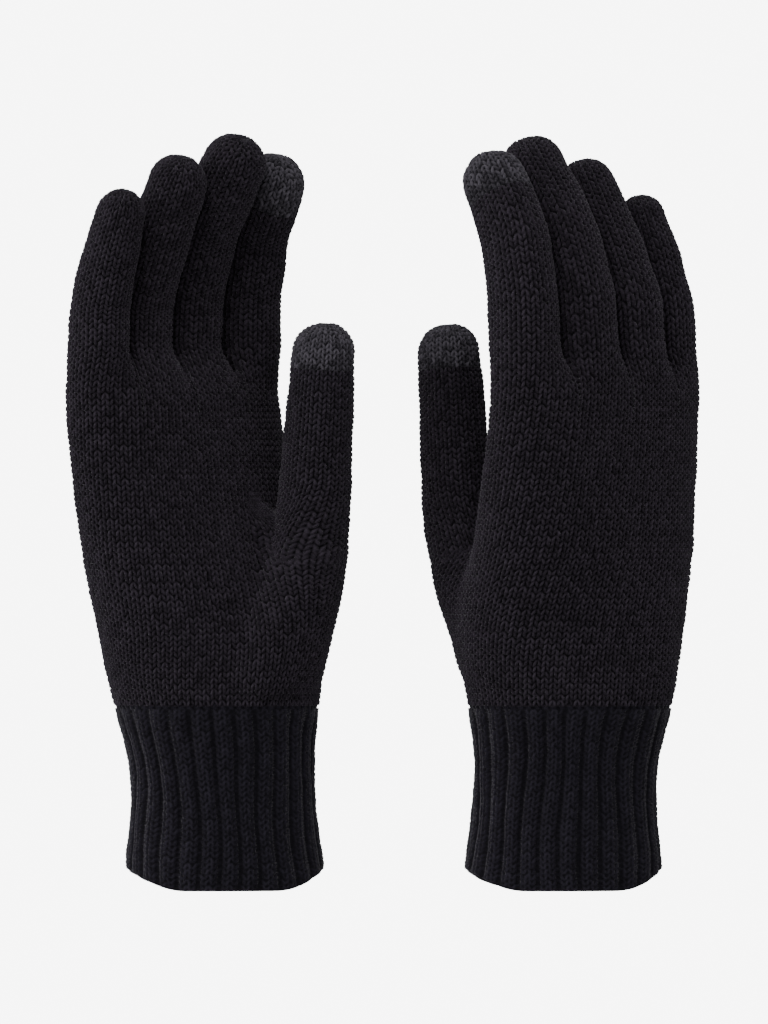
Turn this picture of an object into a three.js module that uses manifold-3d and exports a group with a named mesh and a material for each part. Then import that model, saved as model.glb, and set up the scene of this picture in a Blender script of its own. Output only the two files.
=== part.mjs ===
// A pair of knitted touchscreen gloves that stand side by side on their rib cuffs.
// Millimetres, +Z up. The first glove turns its palm to -Y and the second one its back.
// Both are the same glove: an unlined knitted shell, open at the cuff, with conductive caps
// on the index finger and the thumb.
import * as THREE from 'three';
import { mergeVertices } from 'three/addons/utils/BufferGeometryUtils.js';
import Module from 'manifold-3d';

const wasm = await Module();
wasm.setup();

// The fabric and the clearances
const wall = 2.2;
const gap = 0.3;
const bendMargin = 1;
const ovalPower = 2.3;

// How far each kind of joint bends from rest, in degrees: towards the palm, towards the back
const wristBend = [20, 20];
const rootBend = [45, 10];
const middleBend = [50, 10];
const endBend = [25, 5];
const thumbRootBend = [15, 35];
const thumbEndBend = [45, 5];

// Heights of the cuff, the seam and the hand above the hem
const wristHeight = 46;
const seamHeight = [59.2, 61.8];
const handTop = 171.5;
const swayTop = 165;
const cuffHeights = [14, 28];

// The hand is three lengths of one knitted tube, which meet at these heights
const handCuts = [98, 140];

// Oval sections of the glove's trunk: height, centre along X, half width, half depth, turn in degrees
const hemSection = { z: 0, x: 0, width: 32.6, depth: 23.5, turn: 6 };
const waistSection = { z: 43, x: -1.2, width: 30.6, depth: 21.8, turn: 6 };
const seamSection = { z: 60.5, x: -2.7, width: 33.7, depth: 24, turn: 6 };
const heelSection = { z: 85, x: -4.4, width: 38.4, depth: 23.5, turn: 20 };
const palmSection = { z: 115, x: -11, width: 40.3, depth: 20.5, turn: 32 };
const upperPalmSection = { z: 145, x: -15.6, width: 41.8, depth: 17.5, turn: 38 };
const knuckleSection = { z: 165, x: -17.4, width: 43, depth: 16, turn: 41 };
const trunk = [
  hemSection, waistSection, seamSection, heelSection, palmSection, upperPalmSection, knuckleSection,
];
const handHeights = [85, 100, 115, 130, 145, 165];
const knuckleRounding = 4;
const hemRise = 7;
const hemFlat = 15;
const seamRidge = 0.8;

// Fingers: across is the place along the knuckle row, back the height of the root above the
// row's axis, root the height of the root joint. lengths and tilts are those of the three
// phalanges, widths and depths the half sizes at the root, the two joints and the tip.
const rowTurn = 41;
const fingerStubStart = 150;
const fingers = [
  {
    name: 'index', across: 19, back: 11.7, root: 180, lengths: [17, 21.5, 17.6], tilts: [2, 12, 30],
    widths: [11.2, 11.2, 11.1, 10.6], depths: [12.6, 12.3, 11.8, 11], capLength: 10.5,
  },
  {
    name: 'middle', across: -4.2, back: 15.3, root: 180, lengths: [18, 22.5, 24.8], tilts: [6, 21, 36],
    widths: [11.1, 11.1, 11, 10.6], depths: [12.6, 12.2, 11.7, 10.9],
  },
  {
    name: 'ring', across: -26.4, back: 14, root: 180, lengths: [15, 22, 20.4], tilts: [4, 26, 30],
    widths: [10.8, 10.8, 10.5, 9.6], depths: [12.4, 12, 11.2, 10.2],
  },
  {
    name: 'little', across: -47.3, back: 8.7, root: 178, lengths: [14, 17, 15.4], tilts: [2, 18, 23],
    widths: [9.8, 9.7, 9.2, 8], depths: [11, 10.6, 9.9, 8.6],
  },
];

// Thumb: its root joint, the lean of its axis, and the swelling that joins it to the palm
const thumb = {
  root: [29.8, -9, 128], lean: [0.06, -0.07, 1], lengths: [34, 15.4], tilts: [0, 0],
  radii: [12, 11, 10.3], capLength: 10,
};
const thumbSwelling = [
  { z: 66, x: 9, y: -3, radius: 21 },
  { z: 84, x: 16.5, y: -4.6, radius: 19.3 },
  { z: 100, x: 24, y: -6.2, radius: 15.8 },
  { z: 116, x: 28.4, y: -7.8, radius: 12.8 },
];

// A rounded tip: the angles of its rings, and the share of its reach that counts as cap length
const domeAngles = [0, 30, 55, 75];
const capDomeShare = 0.5;

// The two gloves: place on the floor, turn about Z, and how far the cuff sways along X
const pair = [
  { name: 'glove_a', x: -52.8, y: 0, turn: 0, sway: 0 },
  { name: 'glove_b', x: 52.8, y: 0, turn: 180, sway: -6.5 },
];

const sides = { trunk: 24, finger: 12 };
const degrees = THREE.MathUtils.degToRad;
const up = new THREE.Vector3(0, 0, 1);

const yarn = new THREE.MeshStandardMaterial({ color: 0x151317, roughness: 0.95, metalness: 0 });
const ribYarn = new THREE.MeshStandardMaterial({ color: 0x121115, roughness: 0.95, metalness: 0 });
const touchYarn = new THREE.MeshStandardMaterial({ color: 0x36343b, roughness: 0.85, metalness: 0 });

// ---- closed surfaces from rings of points ----

// Joins rings of points into one closed surface. A ring of one point closes an end; with
// open ends the last ring joins the first, which makes the wall of a tube.
function surfaceFromRings(rings) {
  const points = [];
  const starts = rings.map((ring) => {
    const start = points.length / 3;
    ring.forEach((p) => points.push(p.x, p.y, p.z));
    return start;
  });
  const count = Math.max(...rings.map((ring) => ring.length));
  const loops = rings[0].length > 1;
  const faces = [];
  for (let i = 0; i < (loops ? rings.length : rings.length - 1); i += 1) {
    const j = (i + 1) % rings.length;
    for (let k = 0; k < count; k += 1) {
      const a = starts[i] + (k % rings[i].length);
      const b = starts[i] + ((k + 1) % rings[i].length);
      const c = starts[j] + ((k + 1) % rings[j].length);
      const d = starts[j] + (k % rings[j].length);
      if (rings[i].length > 1) faces.push(a, b, c);
      if (rings[j].length > 1) faces.push(a, c, d);
    }
  }
  return facingOut(points, faces);
}

// Builds a geometry and turns its faces round if they enclose a negative volume.
function facingOut(points, faces) {
  const corner = (i) => new THREE.Vector3().fromArray(points, 3 * faces[i]);
  let volume = 0;
  for (let i = 0; i < faces.length; i += 3) {
    volume += corner(i).dot(corner(i + 1).cross(corner(i + 2)));
  }
  const turned = volume < 0 ? faces.slice().reverse() : faces;
  const geometry = new THREE.BufferGeometry();
  geometry.setAttribute('position', new THREE.Float32BufferAttribute(points, 3));
  geometry.setIndex(turned);
  return geometry;
}

// ---- solids for cutting and joining ----

function toSolid(geometry) {
  const merged = mergeVertices(geometry);
  return new wasm.Manifold(new wasm.Mesh({
    numProp: 3,
    vertProperties: new Float32Array(merged.attributes.position.array),
    triVerts: new Uint32Array(merged.index.array),
  }));
}

function toGeometry(solid) {
  const mesh = solid.getMesh();
  const geometry = new THREE.BufferGeometry();
  geometry.setAttribute('position', new THREE.BufferAttribute(mesh.vertProperties, 3));
  geometry.setIndex(new THREE.BufferAttribute(mesh.triVerts, 1));
  return geometry;
}

// ---- the trunk: cuff, seam and hand ----

// How far the glove's lower part stands to one side at a height.
function swayAt(z, glove) {
  return glove.sway * (1 - THREE.MathUtils.smoothstep(z, waistSection.z, swayTop));
}

// The trunk's section at a height, eased between the two stations around it.
function sectionAt(z, glove) {
  const height = Math.min(z, knuckleSection.z);
  const upper = Math.max(1, trunk.findIndex((station) => station.z >= height));
  const [a, b] = [trunk[upper - 1], trunk[upper]];
  const t = (height - a.z) / (b.z - a.z);
  const mix = (key) => THREE.MathUtils.lerp(a[key], b[key], t);
  const x = mix('x') + swayAt(z, glove);
  return { x, width: mix('width'), depth: mix('depth'), turn: mix('turn') };
}

// One oval ring of the trunk. inset moves it inwards, and heightOf gives each point's height.
function trunkRing(z, glove, inset, heightOf) {
  const section = sectionAt(z, glove);
  const turn = degrees(section.turn);
  const stretch = (value) => Math.sign(value) * Math.abs(value) ** (2 / ovalPower);
  return Array.from({ length: sides.trunk }, (unused, k) => {
    const angle = (2 * Math.PI * k) / sides.trunk;
    const across = (section.width - inset) * stretch(Math.cos(angle));
    const through = (section.depth - inset) * stretch(Math.sin(angle));
    const x = section.x + across * Math.cos(turn) - through * Math.sin(turn);
    const y = across * Math.sin(turn) + through * Math.cos(turn);
    return new THREE.Vector3(x, y, heightOf ? heightOf(across, through) : z);
  });
}

// The wall of a tube: outer rings upwards, then the inner rings back down.
function trunkTube(levels, glove, ridge) {
  const outer = levels.map((level) => trunkRing(level.z, glove, -ridge, level.heightOf));
  const inner = levels.map((level) => trunkRing(level.z, glove, wall, level.heightOf));
  return surfaceFromRings([...outer, ...inner.reverse()]);
}

function hemHeight(across) {
  const beyond = Math.max(0, Math.abs(across) - hemFlat) / (hemSection.width - hemFlat);
  return hemRise * beyond * beyond;
}

// Height of the bevel that leaves the wrist room to bend: direction -1 below it, 1 above it.
function wristBevel(direction) {
  return (across, through) => {
    const half = degrees((through < 0 ? wristBend[0] : wristBend[1]) / 2 + bendMargin);
    return wristHeight + direction * (gap / 2 + Math.abs(through) * Math.tan(half));
  };
}

function cuffBand(glove) {
  const hem = { z: 0, heightOf: hemHeight };
  const wrist = { z: wristHeight, heightOf: wristBevel(-1) };
  return trunkTube([hem, ...cuffHeights.map((z) => ({ z })), wrist], glove, 0);
}

function wristBand(glove) {
  const levels = [{ z: wristHeight, heightOf: wristBevel(1) }, { z: seamHeight[0] - gap }];
  return trunkTube(levels, glove, 0);
}

function linkingSeam(glove) {
  return trunkTube([{ z: seamHeight[0] }, { z: seamHeight[1] }], glove, seamRidge);
}

// The hand's trunk, as a solid whose walls stand inset inside the outer surface.
function handTrunk(glove, inset) {
  const bottom = seamHeight[1] + gap;
  const rings = [bottom, ...handHeights].map((z) => trunkRing(z, glove, inset));
  if (inset > 0) rings[0].forEach((p) => p.setZ(bottom - wall));
  rings.push(trunkRing(handTop, glove, inset + knuckleRounding, () => handTop - inset));
  return toSolid(surfaceFromRings([[centreOf(rings[0])], ...rings, [centreOf(rings.at(-1))]]));
}

function centreOf(ring) {
  return ring.reduce((sum, p) => sum.add(p), new THREE.Vector3()).divideScalar(ring.length);
}

// ---- fingers and thumb ----

// The direction along the knuckle row, and the direction a bending finger moves in.
const rowDirection = new THREE.Vector3(Math.cos(degrees(rowTurn)), Math.sin(degrees(rowTurn)), 0);
const palmDirection = new THREE.Vector3().crossVectors(rowDirection, up);

// A digit is a chain of joints. Each link has its start, its own axes and its sizes:
// along its length, side along its hinge, and pad towards the side that it bends to.
function fingerChain(finger) {
  const turn = degrees(rowTurn);
  const start = new THREE.Vector3(
    finger.across * Math.cos(turn) - finger.back * Math.sin(turn),
    finger.across * Math.sin(turn) + finger.back * Math.cos(turn),
    finger.root,
  );
  return chainOfLinks(start, finger.lengths, finger.tilts, finger.widths, finger.depths, {
    side: rowDirection, pad: palmDirection, rise: up,
  });
}

function thumbChain(glove) {
  const rise = new THREE.Vector3(...thumb.lean).normalize();
  const pad = new THREE.Vector3(0, -1, 0).projectOnPlane(rise).normalize();
  const side = new THREE.Vector3().crossVectors(rise, pad);
  const start = new THREE.Vector3(...thumb.root).setX(thumb.root[0] + swayAt(thumb.root[2], glove));
  return chainOfLinks(start, thumb.lengths, thumb.tilts, thumb.radii, thumb.radii, { side, pad, rise });
}

// tilts are measured from the direction that the digit rises in, towards its pad.
function chainOfLinks(start, lengths, tilts, widths, depths, axes) {
  const links = [];
  let at = start;
  lengths.forEach((length, i) => {
    const tilt = degrees(tilts[i]);
    const along = axes.rise.clone().applyAxisAngle(axes.side, tilt);
    const pad = axes.pad.clone().applyAxisAngle(axes.side, tilt);
    links.push({
      start: at, along, pad, side: axes.side, length, tilt: tilts[i],
      width: [widths[i], widths[i + 1]], depth: [depths[i], depths[i + 1]],
    });
    at = at.clone().addScaledVector(along, length);
  });
  return links;
}

// One ring round a link, at a distance along it. scale shrinks it for a rounded tip, and
// bevel gives each point's further shift along the link from its distance to the hinge.
function linkRing(link, distance, inset, scale = 1, bevel = () => 0) {
  const t = THREE.MathUtils.clamp(distance / link.length, 0, 1);
  const width = (THREE.MathUtils.lerp(...link.width, t) - inset) * scale;
  const depth = (THREE.MathUtils.lerp(...link.depth, t) - inset) * scale;
  return Array.from({ length: sides.finger }, (unused, k) => {
    const angle = (2 * Math.PI * k) / sides.finger;
    const padward = depth * Math.sin(angle);
    return link.start.clone()
      .addScaledVector(link.side, width * Math.cos(angle))
      .addScaledVector(link.pad, padward)
      .addScaledVector(link.along, distance + bevel(padward));
  });
}

// The bevel at a joint: each side slopes away from the hinge line by half of what the joint
// may close there. restBend is the bend that the joint has at rest.
function jointBevel(bend, restBend, direction) {
  const padSide = Math.tan(degrees((bend[0] + restBend) / 2 + bendMargin));
  const backSide = Math.tan(degrees((bend[1] - restBend) / 2 + bendMargin));
  return (padward) => direction * (gap / 2 + (padward > 0 ? padward * padSide : -padward * backSide));
}

// The tube of a link, from its start to a distance along it. Its ends may be bevelled.
function openLink(link, to, lower, upper) {
  const ends = (inset) => [linkRing(link, 0, inset, 1, lower), linkRing(link, to, inset, 1, upper)];
  return surfaceFromRings([...ends(0), ...ends(wall).reverse()]);
}

// A link that ends in a rounded tip, whose centre is the end of the link.
function closedLink(link, from, lower) {
  const dome = (inset) => domeAngles.map((angle) => {
    const rise = (link.depth[1] - inset) * Math.sin(degrees(angle));
    const ring = linkRing(link, link.length, inset, Math.cos(degrees(angle)));
    ring.forEach((p) => p.addScaledVector(link.along, rise));
    return ring;
  });
  const reach = link.length + link.depth[1];
  const apex = (inset) => link.start.clone().addScaledVector(link.along, reach - inset);
  const outer = [linkRing(link, from, 0, 1, lower), ...dome(0)];
  const inner = [linkRing(link, from, wall, 1, lower), ...dome(wall)];
  return surfaceFromRings([[apex(wall)], ...inner.reverse(), ...outer, [apex(0)]]);
}

// The upper end of a stub: the outside is bevelled for the joint, the inside runs past it.
function stubTop(link, inset, bevel) {
  return inset > 0 ? linkRing(link, gap, inset) : linkRing(link, 0, 0, 1, bevel);
}

// The short tube on the hand that a finger's root joint starts from, as a solid.
function fingerStub(finger, inset) {
  const [first] = fingerChain(finger);
  const stub = { ...first, along: up, pad: palmDirection, width: [first.width[0], first.width[0]] };
  stub.depth = [first.depth[0], first.depth[0]];
  const bottom = linkRing(stub, fingerStubStart - finger.root, inset);
  const top = stubTop(stub, inset, jointBevel(rootBend, first.tilt, -1));
  return toSolid(surfaceFromRings([[centreOf(bottom)], bottom, top, [centreOf(top)]]));
}

// The swelling at the base of the thumb, up to the thumb's root joint, as a solid.
function thumbStub(glove, inset) {
  const [first] = thumbChain(glove);
  const rings = thumbSwelling.map((station) => {
    const start = new THREE.Vector3(station.x + swayAt(station.z, glove), station.y, station.z);
    const sizes = [station.radius, station.radius];
    return linkRing({ ...first, start, width: sizes, depth: sizes }, 0, inset);
  });
  const top = stubTop(first, inset, jointBevel(thumbRootBend, first.tilt, -1));
  return toSolid(surfaceFromRings([[centreOf(rings[0])], ...rings, top, [centreOf(top)]]));
}

// The hand with its stubs, as a shell.
function handShell(glove) {
  const whole = (inset) => {
    const stubs = [...fingers.map((finger) => fingerStub(finger, inset)), thumbStub(glove, inset)];
    return stubs.reduce((sum, stub) => sum.add(stub), handTrunk(glove, inset));
  };
  return whole(0).subtract(whole(wall));
}

function handPieces(glove) {
  const shell = handShell(glove);
  const [heelTop, palmTop] = handCuts;
  const above = (solid, z) => solid.trimByPlane([0, 0, 1], z + gap / 2);
  const below = (solid, z) => solid.trimByPlane([0, 0, -1], gap / 2 - z);
  return [
    ['hand_heel', toGeometry(below(shell, heelTop)), yarn],
    ['hand_palm', toGeometry(below(above(shell, heelTop), palmTop)), yarn],
    ['hand_knuckles', toGeometry(above(shell, palmTop)), yarn],
  ];
}

// ---- assembly ----

function fingerPieces(finger) {
  const [base, middle, end] = fingerChain(finger);
  const middleTilt = middle.tilt - base.tilt;
  const endTilt = end.tilt - middle.tilt;
  const basePiece = openLink(
    base, base.length, jointBevel(rootBend, base.tilt, 1), jointBevel(middleBend, middleTilt, -1),
  );
  const middlePiece = openLink(
    middle, middle.length, jointBevel(middleBend, middleTilt, 1), jointBevel(endBend, endTilt, -1),
  );
  return [
    [`${finger.name}_base`, basePiece, yarn],
    [`${finger.name}_middle`, middlePiece, yarn],
    ...endPieces(finger, end, jointBevel(endBend, endTilt, 1)),
  ];
}

// The last link: one closed piece, or a short tube and a conductive cap.
function endPieces(digit, link, lower) {
  if (!digit.capLength) return [[`${digit.name}_end`, closedLink(link, 0, lower), yarn]];
  const seam = link.length + link.depth[1] * capDomeShare - digit.capLength;
  return [
    [`${digit.name}_end`, openLink(link, seam, lower), yarn],
    [`${digit.name}_touch_tip`, closedLink(link, seam + gap, () => 0), touchYarn],
  ];
}

function thumbPieces(glove) {
  const [base, end] = thumbChain(glove);
  const basePiece = openLink(
    base, base.length, jointBevel(thumbRootBend, base.tilt, 1), jointBevel(thumbEndBend, end.tilt, -1),
  );
  return [
    ['thumb_base', basePiece, yarn],
    ...endPieces({ ...thumb, name: 'thumb' }, end, jointBevel(thumbEndBend, end.tilt, 1)),
  ];
}

function buildGlove(glove) {
  const pieces = [
    ['cuff_band', cuffBand(glove), ribYarn],
    ['wrist_band', wristBand(glove), ribYarn],
    ['linking_seam', linkingSeam(glove), ribYarn],
    ...handPieces(glove),
    ...fingers.flatMap(fingerPieces),
    ...thumbPieces(glove),
  ];
  const assembly = new THREE.Group();
  pieces.forEach(([name, geometry, material]) => {
    const mesh = new THREE.Mesh(geometry, material.clone());
    mesh.name = `${glove.name}_${name}`;
    assembly.add(mesh);
  });
  assembly.position.set(glove.x, glove.y, 0);
  assembly.rotation.z = degrees(glove.turn);
  return assembly;
}

const group = new THREE.Group();
pair.forEach((glove) => group.add(buildGlove(glove)));

export default group;
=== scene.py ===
import math

import bpy
import numpy as np
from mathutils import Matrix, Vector


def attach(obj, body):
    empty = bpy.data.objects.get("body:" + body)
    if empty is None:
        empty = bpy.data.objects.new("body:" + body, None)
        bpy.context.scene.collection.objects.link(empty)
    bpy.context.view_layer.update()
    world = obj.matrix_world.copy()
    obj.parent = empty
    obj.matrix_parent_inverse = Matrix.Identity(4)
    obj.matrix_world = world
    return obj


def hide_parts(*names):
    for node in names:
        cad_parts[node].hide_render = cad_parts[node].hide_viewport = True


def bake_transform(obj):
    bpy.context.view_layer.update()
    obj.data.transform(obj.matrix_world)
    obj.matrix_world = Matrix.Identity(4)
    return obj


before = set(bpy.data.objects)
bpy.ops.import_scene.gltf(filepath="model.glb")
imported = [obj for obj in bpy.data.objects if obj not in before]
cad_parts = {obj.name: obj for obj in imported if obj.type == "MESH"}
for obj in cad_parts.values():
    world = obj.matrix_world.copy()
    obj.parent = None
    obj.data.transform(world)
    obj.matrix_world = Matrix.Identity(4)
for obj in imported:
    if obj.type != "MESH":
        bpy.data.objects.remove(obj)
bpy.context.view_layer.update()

MM = 0.001
UP = np.array([0.0, 0.0, 1.0])

# ---- sizes in millimetres, the same as the CAD part's ----

PAIR = {
    "glove_a": {"x": -52.8, "turn": 0.0, "sway": 0.0, "seed": 3.0},
    "glove_b": {"x": 52.8, "turn": 180.0, "sway": -6.5, "seed": 7.0},
}
SWAY_GONE = (43, 165)                  # heights between which a glove's sway fades
# height, centre along X, half width, half depth, turn in degrees
TRUNK = np.array([
    (0, 0, 32.6, 23.5, 6), (43, -1.2, 30.6, 21.8, 6), (60.5, -2.7, 33.7, 24, 6),
    (85, -4.4, 38.4, 23.5, 20), (115, -11, 40.3, 20.5, 32), (145, -15.6, 41.8, 17.5, 38),
    (165, -17.4, 43, 16, 41), (190, -17.4, 43, 16, 41),
], float)
OVAL = 2.3                             # power of the trunk's oval section
ROW_TURN = math.radians(41)
ROW_SIDE = np.array([math.cos(ROW_TURN), math.sin(ROW_TURN), 0.0])
ROW_PALM = np.array([math.sin(ROW_TURN), -math.cos(ROW_TURN), 0.0])
FINGERS = {
    "index": {
        "across": 19, "back": 11.7, "root": 180, "lengths": (17, 21.5, 17.6),
        "tilts": (2, 12, 30), "widths": (11.2, 11.2, 11.1, 10.6),
        "depths": (12.6, 12.3, 11.8, 11), "cap": 10.5, "wales": 8,
    },
    "middle": {
        "across": -4.2, "back": 15.3, "root": 180, "lengths": (18, 22.5, 24.8),
        "tilts": (6, 21, 36), "widths": (11.1, 11.1, 11, 10.6),
        "depths": (12.6, 12.2, 11.7, 10.9), "cap": 0, "wales": 8,
    },
    "ring": {
        "across": -26.4, "back": 14, "root": 180, "lengths": (15, 22, 20.4),
        "tilts": (4, 26, 30), "widths": (10.8, 10.8, 10.5, 9.6),
        "depths": (12.4, 12, 11.2, 10.2), "cap": 0, "wales": 8,
    },
    "little": {
        "across": -47.3, "back": 8.7, "root": 178, "lengths": (14, 17, 15.4),
        "tilts": (2, 18, 23), "widths": (9.8, 9.7, 9.2, 8),
        "depths": (11, 10.6, 9.9, 8.6), "cap": 0, "wales": 7,
    },
}
BORDERS = (7.35, -15.45, -37.35)       # between neighbouring fingers, along the knuckle row
THUMB = {"root": (29.8, -9, 128), "lean": (0.06, -0.07, 1), "lengths": (34, 15.4), "cap": 10}
THUMB_ROOT = float(THUMB["root"][2])
THUMB_RADII = (12, 11, 10.3)           # at the root, at the joint and where the tip begins
THUMB_TIP = THUMB_RADII[2]
# height, x, y, radius of the swelling that becomes the thumb
SWELLING = np.array([
    (60, 6, -2, 19), (66, 9, -3, 21), (84, 16.5, -4.6, 19.3), (100, 24, -6.2, 15.8),
    (116, 28.4, -7.8, 12.8), (128, 29.8, -9, 12), (162, 31.8, -11.4, 11),
    (178, 32.8, -12.5, 10.3),
], float)
SWELLING_GONE = 131                    # height at which the hand has no swelling left
KNUCKLE_TOP = 165                      # height of the trunk's last section under the fingers
SEAM = (59.2, 61.8)
HEM_RISE, HEM_FLAT = 7.0, 15.0
WALL = 2.2

# ---- the knit ----

HAND_WALES, SIDE_WALES = 68, 3
SIDE_HALF = SIDE_WALES / 2
SIDE_REACH = {"index": 4.9, "little": 4.4}    # half length of the outermost sides, in mm
HAND_FLOOR, HAND_TOP, HAND_COURSES = 60.9, 158.0, 52
COURSE = (HAND_TOP - HAND_FLOOR) / HAND_COURSES
THUMB_START = 27                       # the hand's course where the thumb's own tube comes out
THUMB_OUT = HAND_FLOOR + THUMB_START * COURSE
THUMB_FIRST = -2                       # the thumb's first course, hidden in the swelling
THUMB_STRAIGHT = THUMB_ROOT - THUMB_OUT + sum(THUMB["lengths"])
THUMB_SINK = 1.1                       # depth of the hidden edges where the thumb comes out
FINGER_COURSE = 1.95
FINGER_SLIM = 0.3                      # taken off a finger's half width, clear of its neighbours
THUMB_COURSE = 1.8
CROTCH_TOP = 38                        # the course above which the swelling has gone
TUCK = 0.05                            # share by which a hidden course is drawn inwards
THUMB_WALES = 24
THUMB_EXTRA = 6                        # wales of the lower hand that run on into the thumb
RIBS, RIB_WALES, CUFF_COURSES = 26, 3, 33
NX, NY = 10, 5                         # vertices across a wale and along a course
RIB_NX, CUFF_NY = 6, 4                 # the same in the cuff, where a rib is three wales
STITCH = 0.95                          # depth of the stitches
INSET = 0.25                           # how far the knit lies inside the CAD surface
GROOVE = 0.22                          # extra depth between two wales, which also deepens the painted shade there
LEG = 1.3                              # length of a stitch's leg, in courses
GATHER, THUMB_GATHER = 0.72, 7.4       # where tips are gathered: share of the depth, and mm
RAYS = 720                             # points of an outline
PATH_STEP = 0.25


def smooth(x, a, b):
    t = np.clip((np.asarray(x, float) - a) / (b - a), 0, 1)
    return t * t * (3 - 2 * t)


def unit(v):
    return v / np.linalg.norm(v, axis=-1, keepdims=True)


def eased(table, z):
    """Smooth curve through a table's rows; the first column is the height."""
    z = np.clip(np.asarray(z, float), table[0, 0], table[-1, 0])
    h, values = table[:, 0], table[:, 1:]
    slopes = np.gradient(values, h, axis=0)
    i = np.clip(np.searchsorted(h, z) - 1, 0, len(h) - 2)
    step = (h[i + 1] - h[i])[..., None]
    t = ((z - h[i]) / (h[i + 1] - h[i]))[..., None]
    a = (2 * t**3 - 3 * t**2 + 1) * values[i] + (t**3 - 2 * t**2 + t) * step * slopes[i]
    return a + (3 * t**2 - 2 * t**3) * values[i + 1] + (t**3 - t**2) * step * slopes[i + 1]


def hash01(a, b, seed):
    """A repeatable number from 0 to 1 for each pair of whole numbers."""
    x = np.sin(a * 127.1 + b * 311.7 + seed * 74.7) * 43758.5453
    return x - np.floor(x)


def wobble(p, seed):
    """Slow unevenness of the fabric, in millimetres."""
    x, y, z = p[..., 0], p[..., 1], p[..., 2]
    a = np.sin(x * 0.21 + z * 0.13 + seed) * np.sin(y * 0.19 - z * 0.09 + 1.7 * seed)
    b = np.sin(x * 0.47 - z * 0.31 + 2.3 * seed) * np.sin(y * 0.4 + z * 0.27 + seed)
    return 0.26 * a + 0.14 * b


def stockinette(u, v, seed):
    """Height of plain knit at wale u and course v, about -1 to 1, and the yarn's own
    coordinates. Each stitch is a V of two plump legs that lean outwards over more than a
    course."""
    wale = np.floor(u)
    x = u - wale - 0.5
    side = np.sign(x)
    best = np.full(u.shape, -1.0)
    along, across, tone = np.zeros(u.shape), np.zeros(u.shape), np.zeros(u.shape)
    for back in (1, 0):
        course = np.floor(v) - back
        jitter = hash01(wale + 0.3 * side, course, seed)
        t = (v - course + 0.16 * (jitter - 0.5)) / LEG
        held = np.clip(t, 0, 1)
        centre = 0.06 + 0.4 * held + 0.05 * (jitter - 0.5)
        half = 0.19 * (0.75 + 0.3 * np.sin(np.pi * held))
        d = (np.abs(x) - centre) / half
        inside = (t > 0) & (t < 1) & (np.abs(d) < 1)
        rise = smooth(t, 0, 0.22) * (1 - smooth(t, 0.62, 1.0)) * (0.85 + 0.3 * jitter)
        height = np.sqrt(np.clip(1 - d * d, 0, 1)) * (0.55 + 1.35 * rise) - 1
        take = inside & (height > best)
        best = np.where(take, height, best)
        along = np.where(take, t + course, along)
        across = np.where(take, d * side, across)
        tone = np.where(take, jitter, tone)
    return best - GROOVE * smooth(np.abs(x), 0.38, 0.5), along, across, tone


def rib(u, v, seed):
    """Height of rib knit: two plain wales make one round rib, with a narrow purl valley."""
    third = np.mod(u, RIB_WALES)
    turn = np.floor(u / RIB_WALES)
    inner = np.clip(third / 2.5, 0, 1) * 2
    knit, along, across, tone = stockinette(np.minimum(inner, 1.999) + turn * 2, v, seed)
    hill = (0.5 + 0.5 * np.cos(2 * np.pi * (third - 1.25) / RIB_WALES)) ** 0.6
    hill = hill - 0.1 * np.exp(-(((third - 1.25) / 0.25) ** 2))
    purl = 0.4 * np.cos(2 * np.pi * v) - 0.5
    return np.where(third > 2.5, purl, knit), hill, along, across, tone


# ---- meshes ----

def normals_of(p):
    """Outward normals of a grid of closed rings that run anticlockwise seen from above."""
    n = np.cross(np.roll(p, -1, 1) - np.roll(p, 1, 1), np.gradient(p, axis=0))
    return n / np.maximum(np.linalg.norm(n, axis=-1, keepdims=True), 1e-9)


def place(p, glove):
    """Points of a glove to metres in the row frame."""
    g = PAIR[glove]
    a = math.radians(g["turn"])
    x = p[..., 0] * math.cos(a) - p[..., 1] * math.sin(a) + g["x"]
    y = p[..., 0] * math.sin(a) + p[..., 1] * math.cos(a)
    return np.stack([x, y, p[..., 2]], -1) * MM


def grid_faces(rows, cols, start):
    r, c = np.meshgrid(np.arange(rows - 1), np.arange(cols), indexing="ij")
    a, b = start + r * cols + c, start + r * cols + (c + 1) % cols
    return np.stack([a, b, b + cols, a + cols], -1).reshape(-1, 4)


def skin(name, glove, grids, material):
    """One object from grids of rings. A grid is its points and its yarn data of 4 values."""
    points = np.concatenate([place(p, glove).reshape(-1, 3) for p, _ in grids])
    yarn = np.concatenate([y.reshape(-1, 4) for _, y in grids])
    faces, start = [], 0
    for p, _ in grids:
        rows, cols = p.shape[:2]
        faces.append(grid_faces(rows, cols, start))
        start += rows * cols
    faces = np.concatenate(faces)
    mesh = bpy.data.meshes.new(name)
    mesh.vertices.add(len(points))
    mesh.vertices.foreach_set("co", points.astype(np.float32).ravel())
    mesh.loops.add(faces.size)
    mesh.loops.foreach_set("vertex_index", faces.astype(np.int32).ravel())
    mesh.polygons.add(len(faces))
    mesh.polygons.foreach_set("loop_start", np.arange(0, faces.size, 4, dtype=np.int32))
    mesh.update(calc_edges=True)
    data = mesh.attributes.new("yarn", "FLOAT_COLOR", "POINT")
    data.data.foreach_set("color", yarn.astype(np.float32).ravel())
    mesh.shade_smooth()
    mesh.materials.append(material)
    obj = bpy.data.objects.new(name, mesh)
    bpy.context.scene.collection.objects.link(obj)
    return obj


def flat_yarn(p, height):
    """Yarn data for points with no stitches. Their height sets their painted shade: the lower, the
    darker.
    """
    return np.zeros(p.shape[:2] + (4,)) + np.array([0, 0, 0.5, height])


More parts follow.
